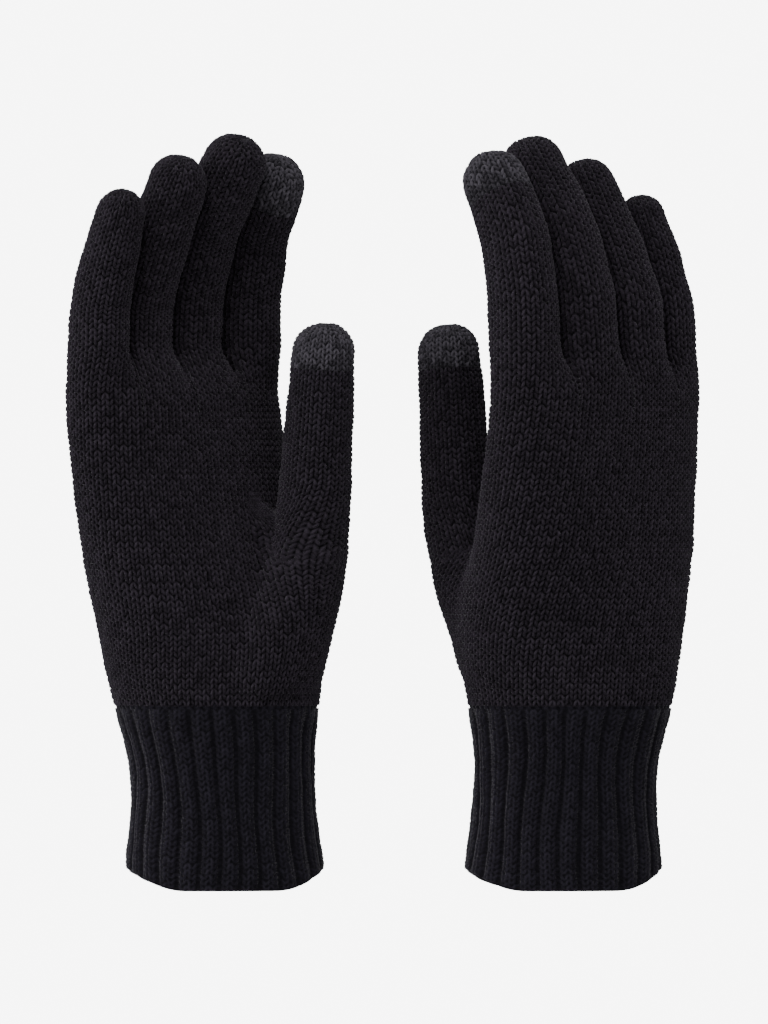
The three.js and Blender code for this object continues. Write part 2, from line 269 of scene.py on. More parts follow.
def knitted(p, u, v, glove, closing=None):
    """A base grid with its stitches. u and v are the wale and course of each point, and the
    stitches flatten where closing falls to 0."""
    seed = PAIR[glove]["seed"]
    height, along, across, tone = stockinette(u, v, seed)
    lift = height * 0.5 * STITCH - INSET + wobble(p, seed)
    if closing is not None:
        lift = lift * closing
    moved = p + normals_of(p) * lift[..., None]
    # the last value, the stitch's height, also sets the painted shade: low in the grooves between
    # stitches, so darker there
    return moved, np.stack([along, across, tone, height * 0.5 + 0.5], -1)


def part_of(grid, first, last):
    """The rows of a grid between two of its courses, counted from its first row."""
    rows = slice(int(round(first * NY)), int(round(last * NY)) + 1)
    return grid[0][rows], grid[1][rows]


def bend(obj):
    """Bakes a piece's transform into its mesh."""
    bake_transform(obj)


# ---- the trunk ----

def sway(z, glove):
    """How far a glove leans along X at a height."""
    return PAIR[glove]["sway"] * (1 - smooth(z, *SWAY_GONE))


def section(z, glove):
    x, width, depth, turn = np.moveaxis(eased(TRUNK, z), -1, 0)
    return x + sway(z, glove), width, depth, np.radians(turn)


def section_at(z, glove):
    """The trunk's section at one height, as plain numbers."""
    return (float(a) for a in section(z, glove))


def swelling(z, glove):
    x, y, radius = np.moveaxis(eased(SWELLING, z), -1, 0)
    return x + sway(z, glove), y, radius


def trunk_reach(ox, oy, theta, z, glove):
    """Distance from (ox, oy) to the oval along each ray, by halving."""
    x, width, depth, turn = section(z, glove)
    c, s = np.cos(turn), np.sin(turn)
    px, py = ox - x, oy
    low, high = np.zeros_like(theta), np.full_like(theta, 140.0)
    for _ in range(32):
        mid = (low + high) / 2
        qx, qy = px + mid * np.cos(theta), py + mid * np.sin(theta)
        across, through = qx * c + qy * s, -qx * s + qy * c
        out = np.abs(across / width) ** OVAL + np.abs(through / depth) ** OVAL > 1
        low, high = np.where(out, low, mid), np.where(out, mid, high)
    return low


def softened(excess, sigma):
    """Values around a ring, blurred over an angle."""
    n = len(excess)
    k = np.arange(-n // 2, n // 2)
    g = np.exp(-0.5 * (k * 2 * np.pi / n / sigma) ** 2)
    g = np.roll(g / g.sum(), -(n // 2))
    return np.real(np.fft.ifft(np.fft.fft(excess) * np.fft.fft(g)))


def outlines(z, glove):
    """The hand's outline without and with the thumb's swelling, on the same rays, anticlockwise
    from the little finger's edge, and how far each ray points at the swelling."""
    x, width, depth, turn = section_at(z, glove)
    cx, cy, radius = (float(a) for a in swelling(z, glove))
    sink = THUMB_SINK * float(smooth(z, THUMB_OUT - 0.2, THUMB_OUT + 3))
    gone = float(smooth(z, THUMB_OUT + 1, SWELLING_GONE))
    away = 1 - gone
    ox, oy = x + 0.48 * (cx - x) * away, 0.48 * cy * away
    first = math.atan2(-width * math.sin(turn) - oy, x - width * math.cos(turn) - ox)
    theta = first + np.arange(RAYS) * 2 * np.pi / RAYS
    reach = trunk_reach(ox, oy, theta, z, glove)
    dx, dy = cx - ox, cy - oy
    radius = (radius - sink) * (1 - 0.8 * gone)
    b = dx * np.cos(theta) + dy * np.sin(theta)
    root = b * b - (dx * dx + dy * dy - radius * radius)
    far = np.where((root > 0) & (b > 0), b + np.sqrt(np.maximum(root, 0)), 0)
    out = reach + softened(np.maximum(far - reach, 0), math.radians(6)) * away
    rays = np.stack([np.cos(theta), np.sin(theta)], -1)
    toward = np.cos(theta - math.atan2(dy, dx))
    origin = np.array([ox, oy])
    return origin + reach[:, None] * rays, origin + out[:, None] * rays, toward


def trunk_ring(z, glove, count=RAYS):
    """The trunk's own outline, anticlockwise from the index finger's edge."""
    x, width, depth, turn = section_at(z, glove)
    theta = turn + np.arange(count) * 2 * np.pi / count
    reach = trunk_reach(x, 0.0, theta, z, glove)
    return np.stack([x + reach * np.cos(theta), reach * np.sin(theta)], -1)


def closed(ring):
    return np.concatenate([ring, ring[:1]])


def steps_of(line):
    return np.linalg.norm(np.diff(line, axis=0), axis=1)


def lengths_along(line):
    return np.concatenate([[0], np.cumsum(steps_of(line))])


def along_ring(ring, s):
    """Points at shares s of the ring's length, where s may run past 0 or 1."""
    line = closed(ring)
    length = lengths_along(line)
    at = np.mod(s, 1) * length[-1]
    return np.stack([np.interp(at, length, line[:, i]) for i in (0, 1)], -1)


def knuckle_share():
    """Wales and shares of the outline at the knuckles, where each finger has its own strip."""
    line = closed(trunk_ring(HAND_TOP, "glove_a", 4 * RAYS))
    length = lengths_along(line)
    across = line[:, 0] * ROW_SIDE[0] + line[:, 1] * ROW_SIDE[1]
    total = length[-1]
    index_side, little_side = (SIDE_REACH[name] / total for name in ("index", "little"))
    low = int(np.argmin(across))
    k, s = [-SIDE_HALF, SIDE_HALF], [-index_side, index_side]
    at = SIDE_HALF
    for border, name in zip(BORDERS, ("index", "middle", "ring")):
        at += FINGERS[name]["wales"]
        k.append(at)
        s.append(length[int(np.argmin(np.abs(across[:low] - border)))] / total)
    end, little = length[low] / total, FINGERS["little"]["wales"]
    k += [at + little, at + little + SIDE_WALES]
    s += [end - little_side, end + little_side]
    at += 2 * little + SIDE_WALES
    for border, name in zip(BORDERS[::-1], ("ring", "middle", "index")):
        k.append(at)
        s.append(length[low + int(np.argmin(np.abs(across[low:] - border)))] / total)
        at += FINGERS[name]["wales"]
    k.append(at)
    s.append(1 - index_side)
    return np.array(k), np.array(s)


KNUCKLE = knuckle_share()


def widest_share(z):
    """Share of the trunk's outline, from the index finger's edge, at its widest point along X."""
    _, width, depth, turn = section_at(z, "glove_a")
    c, n = math.cos(turn), math.sin(turn)
    power = OVAL / (OVAL - 1)
    size = ((width * c) ** power + (depth * n) ** power) ** (1 / OVAL)
    across = width * (width * c) ** (power - 1) / size
    through = depth * (depth * n) ** (power - 1) / size
    ring = trunk_ring(z, "glove_a")
    length = lengths_along(ring)
    i = math.atan2(through, across) / (2 * math.pi) * len(ring)
    at = float(np.interp(i, np.arange(len(ring)), length))
    return -at / (length[-1] * (1 + 1 / len(ring)))


HEIGHTS = np.arange(0.0, HAND_TOP + 13, 1.0)
WIDEST = np.array([widest_share(z) for z in HEIGHTS])
TOP_WIDEST = float(np.interp(HAND_TOP, HEIGHTS, WIDEST))


def share_of(k):
    """Share of the outline at wale k, at the top of the hand."""
    turns = np.floor((k + SIDE_HALF) / HAND_WALES)
    return np.interp(k - turns * HAND_WALES, KNUCKLE[0], KNUCKLE[1]) + turns


def ring_wales(z, glove, extra):
    """The outline with the swelling, closed, and the wale at each of its points. Wales keep their
    place from the outline's widest points, and extra wales lie over the swelling."""
    bare, full, toward = outlines(z, glove)
    bare, full = closed(bare), closed(full)
    length = lengths_along(bare)
    share = 0.5 + length / length[-1] - (float(np.interp(z, HEIGHTS, WIDEST)) - TOP_WIDEST)
    k = np.arange(0, 2 * HAND_WALES, 0.25)
    wale = np.interp(share, share_of(k), k)
    more = np.maximum(steps_of(full) - steps_of(bare), 0)
    spread = 16 * (1 - float(smooth(z, 78, 104)))      # over the whole thumb side, low down
    for least, amount in ((0.0, spread), (0.995, 0.5)):
        facing = np.clip((toward - least) / (1 - least), 0, 1) ** 2
        more = more + facing / facing.sum() * amount
    return full, wale + extra * np.concatenate([[0], np.cumsum(more)]) / more.sum()


def hand_ring(z, glove, u, extra):
    """Points of the outline at wales u, counted from 0 near the little finger's edge."""
    ring, wale = ring_wales(z, glove, extra)
    span = HAND_WALES + extra
    at = np.mod(u - wale[0], span) + wale[0]
    return np.stack([np.interp(at, wale, ring[:, i]) for i in (0, 1)], -1)


def hand_grid(glove, first, last, extra):
    """The hand's knitted grid between two courses."""
    rows = np.arange(first * NY, last * NY + 1) / NY
    u = np.arange((HAND_WALES + extra) * NX) / NX + HAND_WALES / 2
    points = np.zeros((len(rows), len(u), 3))
    for i, row in enumerate(rows):
        z = HAND_FLOOR + row * COURSE
        points[i, :, :2] = hand_ring(z, glove, u, extra)
        points[i, :, 2] = z
    points = sloped(points, glove)
    shape = points.shape[:2]
    courses = np.broadcast_to(rows[:, None], shape)
    return knitted(points, np.broadcast_to(u, shape), courses, glove)


def sloped(points, glove):
    """Lets the courses rise towards the thumb in the middle of the hand."""
    z = points[..., 2]
    x = points[..., 0] - float(section(90, glove)[0])
    front = np.clip(-points[..., 1] / 20, 0, 1)
    lift = smooth(z, 64, 84) * (1 - smooth(z, 92, 108)) * 0.06 * (x - 5) * front
    out = points.copy()
    for j in range(points.shape[1]):
        for i in range(3):
            out[:, j, i] = np.interp(z[:, j] + lift[:, j], z[:, j], points[:, j, i])
    return out


def tucked(grid, glove):
    """A grid with its first course drawn inwards, under the edge of the one below."""
    points, yarn = grid
    points = points.copy()
    x = float(section(points[0, 0, 2], glove)[0])
    keep = 1 - TUCK * (1 - np.arange(NY) / NY)[:, None]
    points[:NY, :, 0] = x + (points[:NY, :, 0] - x) * keep
    points[:NY, :, 1] *= keep
    return points, yarn


def hand_web(glove):
    """The closed top of the hand's tube, under and between the finger roots."""
    levels = (
        (154, 2.2), (158, 2.5), (161, 3.2), (163, 4.6), (164.4, 7), (165, 10), (165.2, 13),
        (165.3, 15.6),
    )                                  # height, and how far inside the section
    x, width, depth, turn = section_at(KNUCKLE_TOP, glove)
    a = np.arange(160) * 2 * np.pi / 160
    c, s = np.cos(a), np.sin(a)
    rows = []
    for z, inset in levels:
        across = (width - inset) * np.sign(c) * np.abs(c) ** (2 / OVAL)
        through = max(depth - inset, 0.3) * np.sign(s) * np.abs(s) ** (2 / OVAL)
        px = x + across * math.cos(turn) - through * math.sin(turn)
        py = across * math.sin(turn) + through * math.cos(turn)
        rows.append(np.stack([px, py, np.full(len(a), z)], -1))
    return np.array(rows)


def hand_skins(glove, material):
    low = [hand_grid(glove, 0, THUMB_START, THUMB_EXTRA)]
    lower = skin(f"{glove}_hand_lower_knit", glove, low, material)
    web = hand_web(glove)
    top = [
        hand_grid(glove, THUMB_START, CROTCH_TOP, THUMB_EXTRA),
        tucked(hand_grid(glove, CROTCH_TOP - 1, HAND_COURSES, 0), glove),
        # painted shade: the web between the finger roots gets height 0, the darkest colour
        (web, flat_yarn(web, 0)),
    ]
    upper = skin(f"{glove}_hand_upper_knit", glove, top, material)
    for piece in (lower, upper):
        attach(piece, f"{glove}_palm")
    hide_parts(f"{glove}_hand_heel")
    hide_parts(f"{glove}_hand_palm", f"{glove}_hand_knuckles")


# ---- the cuff ----

def hem_height(p, glove):
    x, width, _, turn = section_at(0, glove)
    across = (p[..., 0] - x) * math.cos(turn) + p[..., 1] * math.sin(turn)
    beyond = np.maximum(np.abs(across) - HEM_FLAT, 0) / (width - HEM_FLAT)
    return HEM_RISE * beyond**2


def cuff_lining(outer, n):
    """The inside of the cuff and the turn of its edge, from the top down to the hem."""
    picks = [outer[i] - n[i] * WALL for i in range(len(outer) - 1, 0, -8)]
    for inset, rise in ((WALL, 0.9), (WALL * 0.85, 0.3), (WALL * 0.55, 0.0), (WALL * 0.3, 0.12)):
        picks.append(outer[0] - n[0] * inset + UP * rise)
    return np.array(picks)


def cuff_skin(glove, material):
    seed, span = PAIR[glove]["seed"], RIBS * RIB_WALES
    u = np.arange(span * RIB_NX) / RIB_NX
    rows = np.arange(CUFF_COURSES * CUFF_NY + 1) / CUFF_NY
    outer = np.zeros((len(rows), len(u), 3))
    top = SEAM[0] + 0.8
    for i, row in enumerate(rows):
        f = row / CUFF_COURSES
        wander = 0.4 * math.sin(6 * f) * np.sin(0.24 * u + 2.5 * f)
        outer[i, :, :2] = along_ring(trunk_ring(f * top, glove), (u + wander) / span)
        outer[i, :, 2] = f * top + hem_height(outer[i], glove) * (1 - f) ** 2
    shape = outer.shape[:2]
    uu, vv = np.broadcast_to(u, shape), np.broadcast_to(rows[:, None], shape)
    height, hill, along, across, tone = rib(uu, vv, seed)
    n = normals_of(outer)
    n[..., 2] *= 0.3
    depth = 0.5 + 0.5 * hash01(np.floor(uu / RIB_WALES + 0.1), 1, 9)
    lift = (hill - 0.8) * (0.8 + 0.5 * depth) + 0.24 * height + 0.1
    lift = lift * (0.35 + 0.65 * smooth(vv, 0, 1.2))
    lift = lift * (1 - 0.5 * smooth(vv, CUFF_COURSES - 3, CUFF_COURSES))
    face = outer + n * (lift + wobble(outer, seed))[..., None]
    # painted shade: the last value falls in the valleys between ribs, so the colour darkens there
    yarn = np.stack([along, across, tone, (height * 0.5 + 0.5) * (0.5 + 0.5 * hill)], -1)
    inner = cuff_lining(outer, n)
    # painted shade: the lining inside the cuff gets height 0.15, so it is drawn dark
    grid = (np.concatenate([inner, face]), np.concatenate([flat_yarn(inner, 0.15), yarn]))
    return skin(f"{glove}_cuff_knit", glove, [grid], material)


def seam_skin(glove, material):
    """The line of loops that links the cuff to the hand."""
    u = np.arange(HAND_WALES * NX) / NX
    heights = np.linspace(SEAM[0] - 0.5, SEAM[1] + 0.6, 15)
    base = np.zeros((len(heights), len(u), 3))
    for i, z in enumerate(heights):
        base[i, :, :2] = along_ring(trunk_ring(z, glove), u / HAND_WALES)
        base[i, :, 2] = z
    v = (base[..., 2] - SEAM[0]) / (SEAM[1] - SEAM[0])
    uu = np.broadcast_to(u, v.shape)
    loop = np.abs(np.cos(np.pi * (uu + 0.35 * (v - 0.5))))
    swell = np.sin(np.pi * np.clip((v + 0.2) / 1.4, 0, 1))
    lift = -1.0 + 0.6 * swell * (0.4 + 0.6 * loop)
    face = base + normals_of(base) * (lift + wobble(base, PAIR[glove]["seed"]))[..., None]
    face[..., 2] += 0.25 * np.sin(uu * 0.9) + 0.15 * np.sin(uu * 2.3)
    # painted shade: the colour darkens between the seam's loops and towards its edges, where this
    # height falls
    height = np.clip(swell * loop, 0, 1) * 0.7
    yarn = np.stack([uu, v * 2 - 1, hash01(np.floor(uu), 0, 5), height], -1)
    return skin(f"{glove}_seam_knit", glove, [(face, yarn)], material)


# ---- fingers ----

def row_point(finger, z):
    """A finger's place on the knuckle row, at a height."""
    c, s = ROW_SIDE[:2]
    x = finger["across"] * c - finger["back"] * s
    return np.array([x, finger["across"] * s + finger["back"] * c, z])


def root_of(finger):
    """Length from the top of the hand to a finger's root joint."""
    return finger["root"] - HAND_TOP


def straight_of(finger):
    """Length from the top of the hand to where a finger's rounded tip begins."""
    return root_of(finger) + sum(finger["lengths"])


def finger_length(finger):
    """Length along the surface, from the top of the hand over the rounded tip."""
    return straight_of(finger) + finger["depths"][3] * math.pi / 2


def finger_path(finger, reach):
    """Centre line of a finger from the top of the hand, with its tilt."""
    joints = np.cumsum((root_of(finger),) + finger["lengths"][:2])
    at = np.arange(0, reach + PATH_STEP, PATH_STEP)
    tilt, before = np.zeros_like(at), 0.0
    for joint, angle in zip(joints, finger["tilts"]):
        tilt += math.radians(angle - before) * smooth(at, joint - 7, joint + 7)
        before = angle
    direction = np.cos(tilt)[:, None] * UP + np.sin(tilt)[:, None] * ROW_PALM
    steps = np.cumsum((direction[1:] + direction[:-1]) / 2 * PATH_STEP, axis=0)
    centre = row_point(finger, HAND_TOP) + np.concatenate([[np.zeros(3)], steps])
    return at, tilt, centre, joints


def finger_sizes(finger, at, joints):
    """Half width and half depth along a finger, with its rounded end."""
    stations = np.concatenate([joints, [joints[-1] + finger["lengths"][2]]])
    width = np.interp(at, stations, finger["widths"])
    depth = np.interp(at, stations, finger["depths"])
    tip = np.clip((at - stations[-1]) / finger["depths"][3], 0, 1)
    return (width - FINGER_SLIM) * np.sqrt(1 - 0.94 * tip**2.3), depth * np.sqrt(1 - tip**2)


def over_tip(where, centre, radius):
    """Turns a length along the surface into a place on the axis, for a tip with that centre."""
    beyond = np.clip((where - centre) / radius, 0, math.pi / 2)
    return np.minimum(where, centre) + radius * np.sin(beyond)


def gathered(u, past, limit):
    """Wales of a finger's grid, knitted together in pairs near its tip."""
    return np.where((past > limit)[:, None], u * 0.5, u)


def closing_of(along, total, shape):
    """Falls from 1 to 0 over the last stretch of a tip, where its stitches draw together."""
    return np.broadcast_to(1 - smooth(along, total - 1.5, total)[:, None], shape)


def strip_start(name):
    """The hand's wale where a finger's strip on the back begins."""
    order = list(FINGERS)
    return SIDE_HALF + sum(FINGERS[f]["wales"] for f in order[: order.index(name)])


def cell_point(name, u, z, glove):
    """A point of the hand's section that belongs to a finger: its two strips and its sides."""
    m = FINGERS[name]["wales"]
    ring = trunk_ring(z, glove)
    start = strip_start(name)
    mirror = HAND_WALES - start - m
    back_end = SIDE_HALF + m
    side_end, palm_end = back_end + SIDE_WALES, back_end + SIDE_WALES + m
    near, far = (u > palm_end) | (u < SIDE_HALF), (u > back_end) & (u < side_end)
    k = np.where(u < back_end, start + u - SIDE_HALF, mirror + u - side_end)
    if name == "index":
        k = np.where(near, np.where(u < SIDE_HALF, u, u - (palm_end + SIDE_HALF)), k)
    if name == "little":
        k = np.where((u >= back_end) & (u <= side_end), start + m + (u - back_end), k)
    point = along_ring(ring, share_of(k))
    ends = along_ring(ring, share_of(np.array([start, start + m, mirror, mirror + m])))
    if name != "little":
        t = np.clip((u - back_end) / SIDE_WALES, 0, 1)[:, None]
        point = np.where(far[:, None], ends[1] * (1 - t) + ends[2] * t, point)
    if name != "index":
        t = (np.mod(u - palm_end, 2 * m + 2 * SIDE_WALES) / SIDE_WALES)[:, None]
        point = np.where(near[:, None], ends[3] * (1 - t) + ends[0] * t, point)
    return point


def finger_grid(name, glove):
    """The knitted grid of a whole finger, from the top of the hand to its tip."""
    finger = FINGERS[name]
    tip = finger["depths"][3]
    count = 2 * finger["wales"] + 2 * SIDE_WALES
    straight, total = straight_of(finger), finger_length(finger)
    at, tilt, centre, joints = finger_path(finger, straight + tip)
    rows = np.arange(int(total / FINGER_COURSE * NY) + 1) / NY
    rows = np.append(rows, total / FINGER_COURSE)
    where = over_tip(rows * FINGER_COURSE, straight, tip)
    width, depth = finger_sizes(finger, where, joints)
    angle = np.interp(where, at, tilt)
    middle = np.stack([np.interp(where, at, centre[:, i]) for i in range(3)], -1)
    pad = np.cos(angle)[:, None] * ROW_PALM - np.sin(angle)[:, None] * UP
    u = np.arange(count * NX) / NX
    psi = 2 * np.pi * u / count
    points = middle[:, None] + (width[:, None] * np.cos(psi))[..., None] * ROW_SIDE
    points = points - (depth[:, None] * np.sin(psi))[..., None] * pad[:, None]
    for i, height in enumerate(where):
        w = float(smooth(height, 4, root_of(finger) + 3))
        if w < 1:
            cell = cell_point(name, u, HAND_TOP + height, glove)
            points[i, :, :2] = points[i, :, :2] * w + cell * (1 - w)
    shape = points.shape[:2]
    uu = gathered(u - SIDE_HALF + strip_start(name), where - straight, GATHER * tip)
    vv = np.broadcast_to(rows[:, None] + HAND_COURSES, shape)
    return knitted(points, uu, vv, glove, closing_of(rows * FINGER_COURSE, total, shape))


def mingled(piece, lean=0.0):
    """A touch cap whose first courses mix in dark stitches, up to lean more on the outer side."""
    points, yarn = piece
    yarn = yarn.copy()
    rows, cols = yarn.shape[:2]
    course = np.arange(rows)[:, None] // NY
    half = np.arange(cols)[None] // (NX // 2)
    outer = np.clip(np.cos(2 * np.pi * np.arange(cols) / cols), 0, 1)
    dark = hash01(half, course, 11) < 0.75 - 0.35 * (course - lean * outer)
    yarn[..., 2] = np.where(dark, -0.2, yarn[..., 2])
    return points, yarn


def finger_marks(finger):
    """Courses where a finger's pieces meet: its start, both middles, the touch cap and the end."""
    base, lengths = root_of(finger), finger["lengths"]
    spots = [0, base + lengths[0] / 2, base + lengths[0] + lengths[1] / 2]
    if finger["cap"]:
        spots.append(straight_of(finger) + finger["depths"][3] / 2 - finger["cap"])
    marks = [int(round(x / FINGER_COURSE)) for x in spots]
    return marks + [finger_length(finger) / FINGER_COURSE + 1]


def finger_joints(finger):
    """Each joint's place, and the direction halfway between the lengths that meet there."""
    at = row_point(finger, finger["root"])
    found, before = [], UP
    for length, tilt in zip(finger["lengths"], finger["tilts"]):
        a = math.radians(tilt)
        along = math.cos(a) * UP + math.sin(a) * ROW_PALM
        found.append((at, unit(before + along)))
        at, before = at + along * length, along
    return found


def finger_skins(glove, name, materials):
    finger = FINGERS[name]
    marks = finger_marks(finger)
    parts = ("base", "middle", "end")
    grid = finger_grid(name, glove)
    for i, (part, (joint, direction)) in enumerate(zip(parts, finger_joints(finger))):
        piece = part_of(grid, marks[i], marks[i + 1])
        obj = skin(f"{glove}_{name}_{part}_knit", glove, [piece], materials["hand"])
        bend(obj)
        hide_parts(f"{glove}_{name}_{part}")
    if finger["cap"]:
        piece = mingled(part_of(grid, marks[3], marks[4]), 1.8)
        obj = skin(f"{glove}_{name}_cap_knit", glove, [piece], materials["touch"])
        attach(obj, f"{glove}_{name}_end_part")
        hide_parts(f"{glove}_{name}_touch_tip")


# ---- thumb ----

def thumb_axes():
    """Directions along the thumb, out of its pad and to its side."""
    forward = np.array([0, -1.0, 0])
    rise = unit(np.array(THUMB["lean"], float))
    pad = unit(forward - rise * float(rise @ forward))
    return rise, pad, np.cross(rise, pad)


def thumb_path(glove, where):
    """Centre, radius and share of the rounded tip, at distances along the thumb's axis."""
    z = THUMB_OUT + where
    x, y, radius = swelling(np.minimum(z, THUMB_ROOT), glove)
    past = np.maximum(z - THUMB_ROOT, 0)
    centre = np.stack([x, y, np.minimum(z, THUMB_ROOT)], -1) + past[:, None] * thumb_axes()[0]
    length = sum(THUMB["lengths"])
    stations = (0, THUMB["lengths"][0], length)
    radius = np.where(past > 0, np.interp(past, stations, THUMB_RADII), radius)
    return centre, radius, np.clip((past - length) / THUMB_TIP, 0, 1)


def thumb_angles(glove):
    """Where the hand's wales cross the thumb's outline, so that the thumb's wales start there."""
    ring, wale = ring_wales(THUMB_OUT, glove, THUMB_EXTRA)
    x, y, radius = (float(a) for a in swelling(THUMB_OUT, glove))
    angle = np.unwrap(np.arctan2(ring[:, 1] - y, ring[:, 0] - x))
    close = np.where(np.abs(np.hypot(ring[:, 0] - x, ring[:, 1] - y) - radius) < 0.9)[0]
    whole = np.arange(math.ceil(wale[close[0]]), math.floor(wale[close[-1]]) + 1)
    known = np.interp(whole, wale, angle)
    middle = 0.5 * (whole[0] + whole[-1])
    table_u = np.append(whole, whole[0] + THUMB_WALES)
    table_a = np.append(known, known[0] + 2 * np.pi)
    return table_u, table_a, middle, float(np.interp(middle, whole, known))


def thumb_grid(glove):
    """The knitted grid of the whole thumb, from inside the swelling to its tip."""
    _, pad, side = thumb_axes()
    total = THUMB_STRAIGHT + THUMB_TIP * math.pi / 2
    rows = np.arange(int((total / THUMB_COURSE - THUMB_FIRST) * NY) + 1) / NY + THUMB_FIRST
    rows = np.append(rows, total / THUMB_COURSE)
    where = over_tip(rows * THUMB_COURSE, THUMB_STRAIGHT, THUMB_TIP)
    centre, radius, tip = thumb_path(glove, where)
    width, depth = radius * np.sqrt(1 - 0.96 * tip**2.2), radius * np.sqrt(1 - tip**2)
    inset = THUMB_SINK * (1 - smooth(where, THUMB_FIRST * THUMB_COURSE, 0.6))
    table_u, table_a, middle, angle = thumb_angles(glove)
    u = np.arange(THUMB_WALES * NX) / NX
    u = np.mod(u - table_u[0], THUMB_WALES) + table_u[0]
    started = np.interp(u, table_u, table_a)
    even = angle + 2 * np.pi * (u - middle) / THUMB_WALES
    w = smooth(where, 0, 26)[:, None]
    psi = started * (1 - w) + even * w
    local = np.stack([np.cos(psi), np.sin(psi)], -1)
    sx = local @ unit(side[:2])
    sy = local @ unit(pad[:2])
    points = centre[:, None] + ((width - inset)[:, None] * sx)[..., None] * side
    points = points + ((depth - inset)[:, None] * sy)[..., None] * pad
    shape = points.shape[:2]
    uu = gathered(u, where - THUMB_STRAIGHT, THUMB_GATHER)
    vv = np.broadcast_to(rows[:, None] + THUMB_START, shape)
    return knitted(points, uu, vv, glove, closing_of(rows * THUMB_COURSE, total, shape))


def thumb_skins(glove, materials):
    first, second = THUMB["lengths"]
    base = THUMB_ROOT - THUMB_OUT
    spots = [base + first / 2 + 2, base + first + second + THUMB_TIP / 2 - THUMB["cap"]]
    marks = [0] + [int(round(x / THUMB_COURSE)) - THUMB_FIRST for x in spots]
    grid = thumb_grid(glove)
    marks.append(len(grid[0]))         # past the last course
    for i, part in enumerate(("base", "end")):
        piece = part_of(grid, marks[i], marks[i + 1])
        obj = skin(f"{glove}_thumb_{part}_knit", glove, [piece], materials["hand"])
        bend(obj)
        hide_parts(f"{glove}_thumb_{part}")
    piece = mingled(part_of(grid, marks[2], marks[3]))
    obj = skin(f"{glove}_thumb_cap_knit", glove, [piece], materials["touch"])
    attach(obj, f"{glove}_thumb_end_part")
    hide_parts(f"{glove}_thumb_touch_tip")


# ---- materials ----

def material(name, dark, light, speckle):
    """Matt yarn. Tone follows the stitch, the plies and fine fibres, with painted shade that
    darkens the colour in the grooves between stitches.
    """
    mat = bpy.data.materials.new(name)
    mat.use_nodes = True
    nodes, links = mat.node_tree.nodes, mat.node_tree.links
    bsdf = nodes["Principled BSDF"]
    bsdf.inputs["Roughness"].default_value = 0.9
    bsdf.inputs["Specular IOR Level"].default_value = 0.1
    bsdf.inputs["Sheen Weight"].default_value = 0.2
    bsdf.inputs["Sheen Roughness"].default_value = 0.3
    bsdf.inputs["Sheen Tint"].default_value = (0.75, 0.72, 0.8, 1)
    yarn = nodes.new("ShaderNodeAttribute")
    yarn.attribute_name = "yarn"
    split = nodes.new("ShaderNodeSeparateColor")
    links.new(yarn.outputs["Color"], split.inputs["Color"])
    along, across, tone = (split.outputs[c] for c in ("Red", "Green", "Blue"))
    height = yarn.outputs["Alpha"]
    where = nodes.new("ShaderNodeTexCoord")

    def math_node(kind, *values):
        node = nodes.new("ShaderNodeMath")
        node.operation = kind
        for i, x in enumerate(values):
            if isinstance(x, (int, float)):
                node.inputs[i].default_value = x
            else:
                links.new(x, node.inputs[i])
        return node.outputs[0]

    def noise(scale, detail, roughness):
        node = nodes.new("ShaderNodeTexNoise")
        node.inputs["Scale"].default_value = scale
        node.inputs["Detail"].default_value = detail
        node.inputs["Roughness"].default_value = roughness
        links.new(where.outputs["Object"], node.inputs["Vector"])
        return node.outputs["Fac"]

    def add(amount, value, mix):
        """Adds a pattern around its middle to the mix of dark and light."""
        return math_node("MULTIPLY_ADD", math_node("SUBTRACT", value, 0.5), amount, mix)

    across_part = math_node("MULTIPLY", across, 2.4)
    twist = math_node("SINE", math_node("MULTIPLY_ADD", along, 26.0, across_part))
    fibre = noise(2600.0, 4.0, 0.7)
    tuft = noise(520.0, 2.0, 0.55)
    cloud = noise(28.0, 2.0, 0.5)
    # painted shade: the colour darkens with the stitch's height, darkest in the grooves between
    # stitches
    mix = math_node("MULTIPLY_ADD", height, 0.66, -0.11)
    mix = math_node("MULTIPLY_ADD", tone, speckle, mix)
    mix = add(0.9, fibre, mix)
    mix = add(0.5 + speckle, tuft, mix)
    mix = add(0.25, cloud, mix)
    mix = math_node("MULTIPLY_ADD", twist, 0.07, mix)
    ramp = nodes.new("ShaderNodeMix")
    ramp.data_type = "RGBA"
    ramp.clamp_factor = True
    links.new(mix, ramp.inputs["Factor"])
    ramp.inputs["A"].default_value = (*dark, 1)
    ramp.inputs["B"].default_value = (*light, 1)
    links.new(ramp.outputs["Result"], bsdf.inputs["Base Color"])
    bump = nodes.new("ShaderNodeBump")
    bump.inputs["Strength"].default_value = 0.5
    bump.inputs["Distance"].default_value = 0.00025
    links.new(math_node("MULTIPLY_ADD", twist, 0.35, fibre), bump.inputs["Height"])
    links.new(bump.outputs["Normal"], bsdf.inputs["Normal"])
    return mat


# dark and light tone, the dark end also standing for the painted shade in the grooves, and how
# much the tone differs from stitch to stitch
MATERIALS = {
    "hand": material(
        "black_knit_yarn", (0.0022, 0.0016, 0.0026), (0.0292, 0.0236, 0.0325), 0.26),
    "rib": material("black_rib_yarn", (0.0030, 0.0026, 0.0041), (0.0187, 0.0164, 0.0247), 0.2),
    "touch": material("grey_marl_yarn", (0.008, 0.0073, 0.0094), (0.060, 0.0548, 0.0664), 0.6),
}

# ---- the gloves ----


def build_glove(name):
    cuff = cuff_skin(name, MATERIALS["rib"])
    bend(cuff)
    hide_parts(f"{name}_cuff_band", f"{name}_wrist_band")
    seam = seam_skin(name, MATERIALS["rib"])
    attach(seam, f"{name}_palm")
    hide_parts(f"{name}_linking_seam")
    hand_skins(name, MATERIALS["hand"])
    for finger in FINGERS:
        finger_skins(name, finger, MATERIALS)
    thumb_skins(name, MATERIALS)


for name in PAIR:
    build_glove(name)

# ---- studio, in metres and watts ----

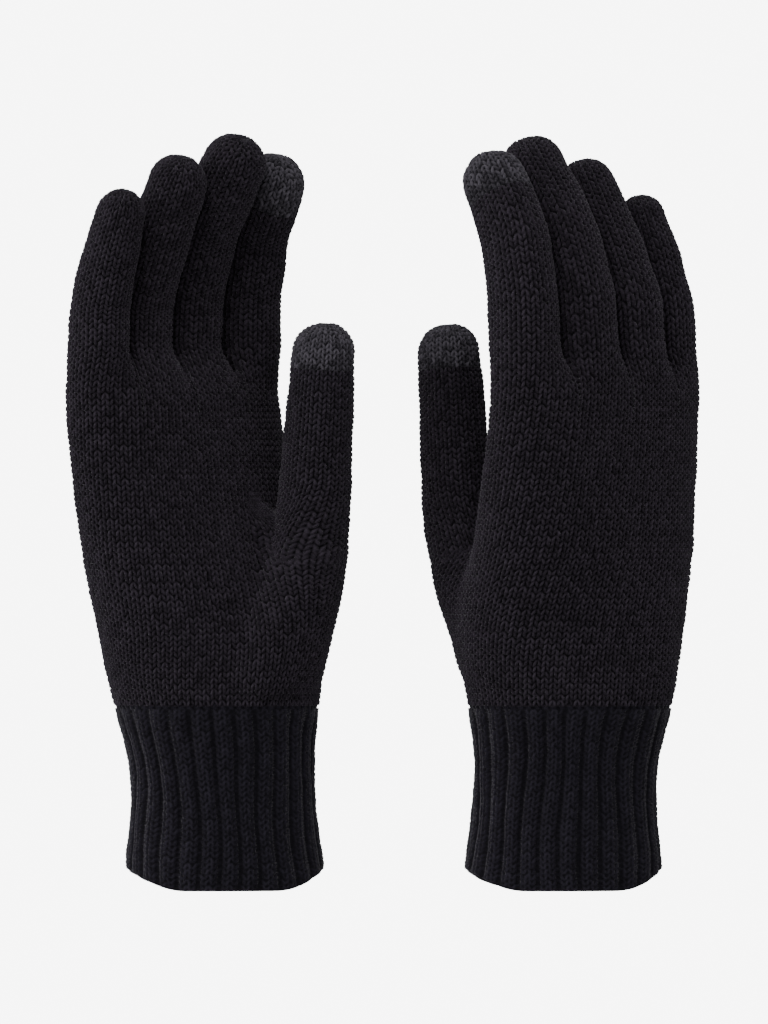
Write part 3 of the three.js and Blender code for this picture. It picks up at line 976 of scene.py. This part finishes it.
WHITE = (1, 1, 1, 1)
BACKDROP, AMBIENT = 7.6, 0.62          # strength seen by the camera, and as light
FLOOR_SIZE, FLOOR_Z = 40, -0.0006
AIM = np.array([0, 0, 0.13])           # where the lights point
LIGHTS = {                             # place, power, size
    "key": ((-0.45, -1.5, 1.7), 24, 0.9),
    "fill": ((1.2, -1.5, 0.5), 4, 1.0),
    "front": ((-0.3, -2.2, 0.1), 14, 0.8),
    "side": ((-1.7, -0.5, 0.4), 22, 0.9),
    "back": ((0.9, 1.9, 1.2), 16, 1.0),
}
CAMERA_PLACE, LENS, CLIP_END = (0, -3.5, 0.125), 371.1, 60


def bright_to_camera(tree):
    """A strength that is high where the camera looks straight at it and soft for its light."""
    path, choice = tree.nodes.new("ShaderNodeLightPath"), tree.nodes.new("ShaderNodeMix")
    choice.inputs["A"].default_value = AMBIENT
    choice.inputs["B"].default_value = BACKDROP
    tree.links.new(path.outputs["Is Camera Ray"], choice.inputs["Factor"])
    return choice.outputs["Result"]


def studio():
    world = bpy.data.worlds.new("studio")
    bpy.context.scene.world = world
    world.use_nodes = True
    background = world.node_tree.nodes["Background"]
    background.inputs["Color"].default_value = WHITE
    strength = bright_to_camera(world.node_tree)
    world.node_tree.links.new(strength, background.inputs["Strength"])
    bpy.ops.mesh.primitive_plane_add(size=FLOOR_SIZE, location=(0, 0, FLOOR_Z))
    floor = bpy.context.object
    floor.name = "floor"
    mat = bpy.data.materials.new("pale_floor")
    mat.use_nodes = True
    nodes, links = mat.node_tree.nodes, mat.node_tree.links
    nodes.clear()
    glow, out = nodes.new("ShaderNodeEmission"), nodes.new("ShaderNodeOutputMaterial")
    glow.inputs["Color"].default_value = WHITE
    links.new(bright_to_camera(mat.node_tree), glow.inputs["Strength"])
    links.new(glow.outputs["Emission"], out.inputs["Surface"])
    floor.data.materials.append(mat)


def softbox(name, spot, power, size):
    light = bpy.data.lights.new(name, "AREA")
    light.energy = power
    light.size = size
    obj = bpy.data.objects.new(name, light)
    obj.location = spot
    obj.rotation_mode = "QUATERNION"
    obj.rotation_quaternion = Vector(AIM - np.array(spot)).to_track_quat("-Z", "Y")
    bpy.context.scene.collection.objects.link(obj)


studio()
for name, (spot, power, size) in LIGHTS.items():
    softbox(name, spot, power, size)

camera = bpy.data.cameras.new("camera")
camera.lens = LENS
camera.clip_end = CLIP_END
view = bpy.data.objects.new("camera", camera)
view.location = CAMERA_PLACE
view.rotation_euler = (math.pi / 2, 0, 0)
bpy.context.scene.collection.objects.link(view)
bpy.context.scene.camera = view
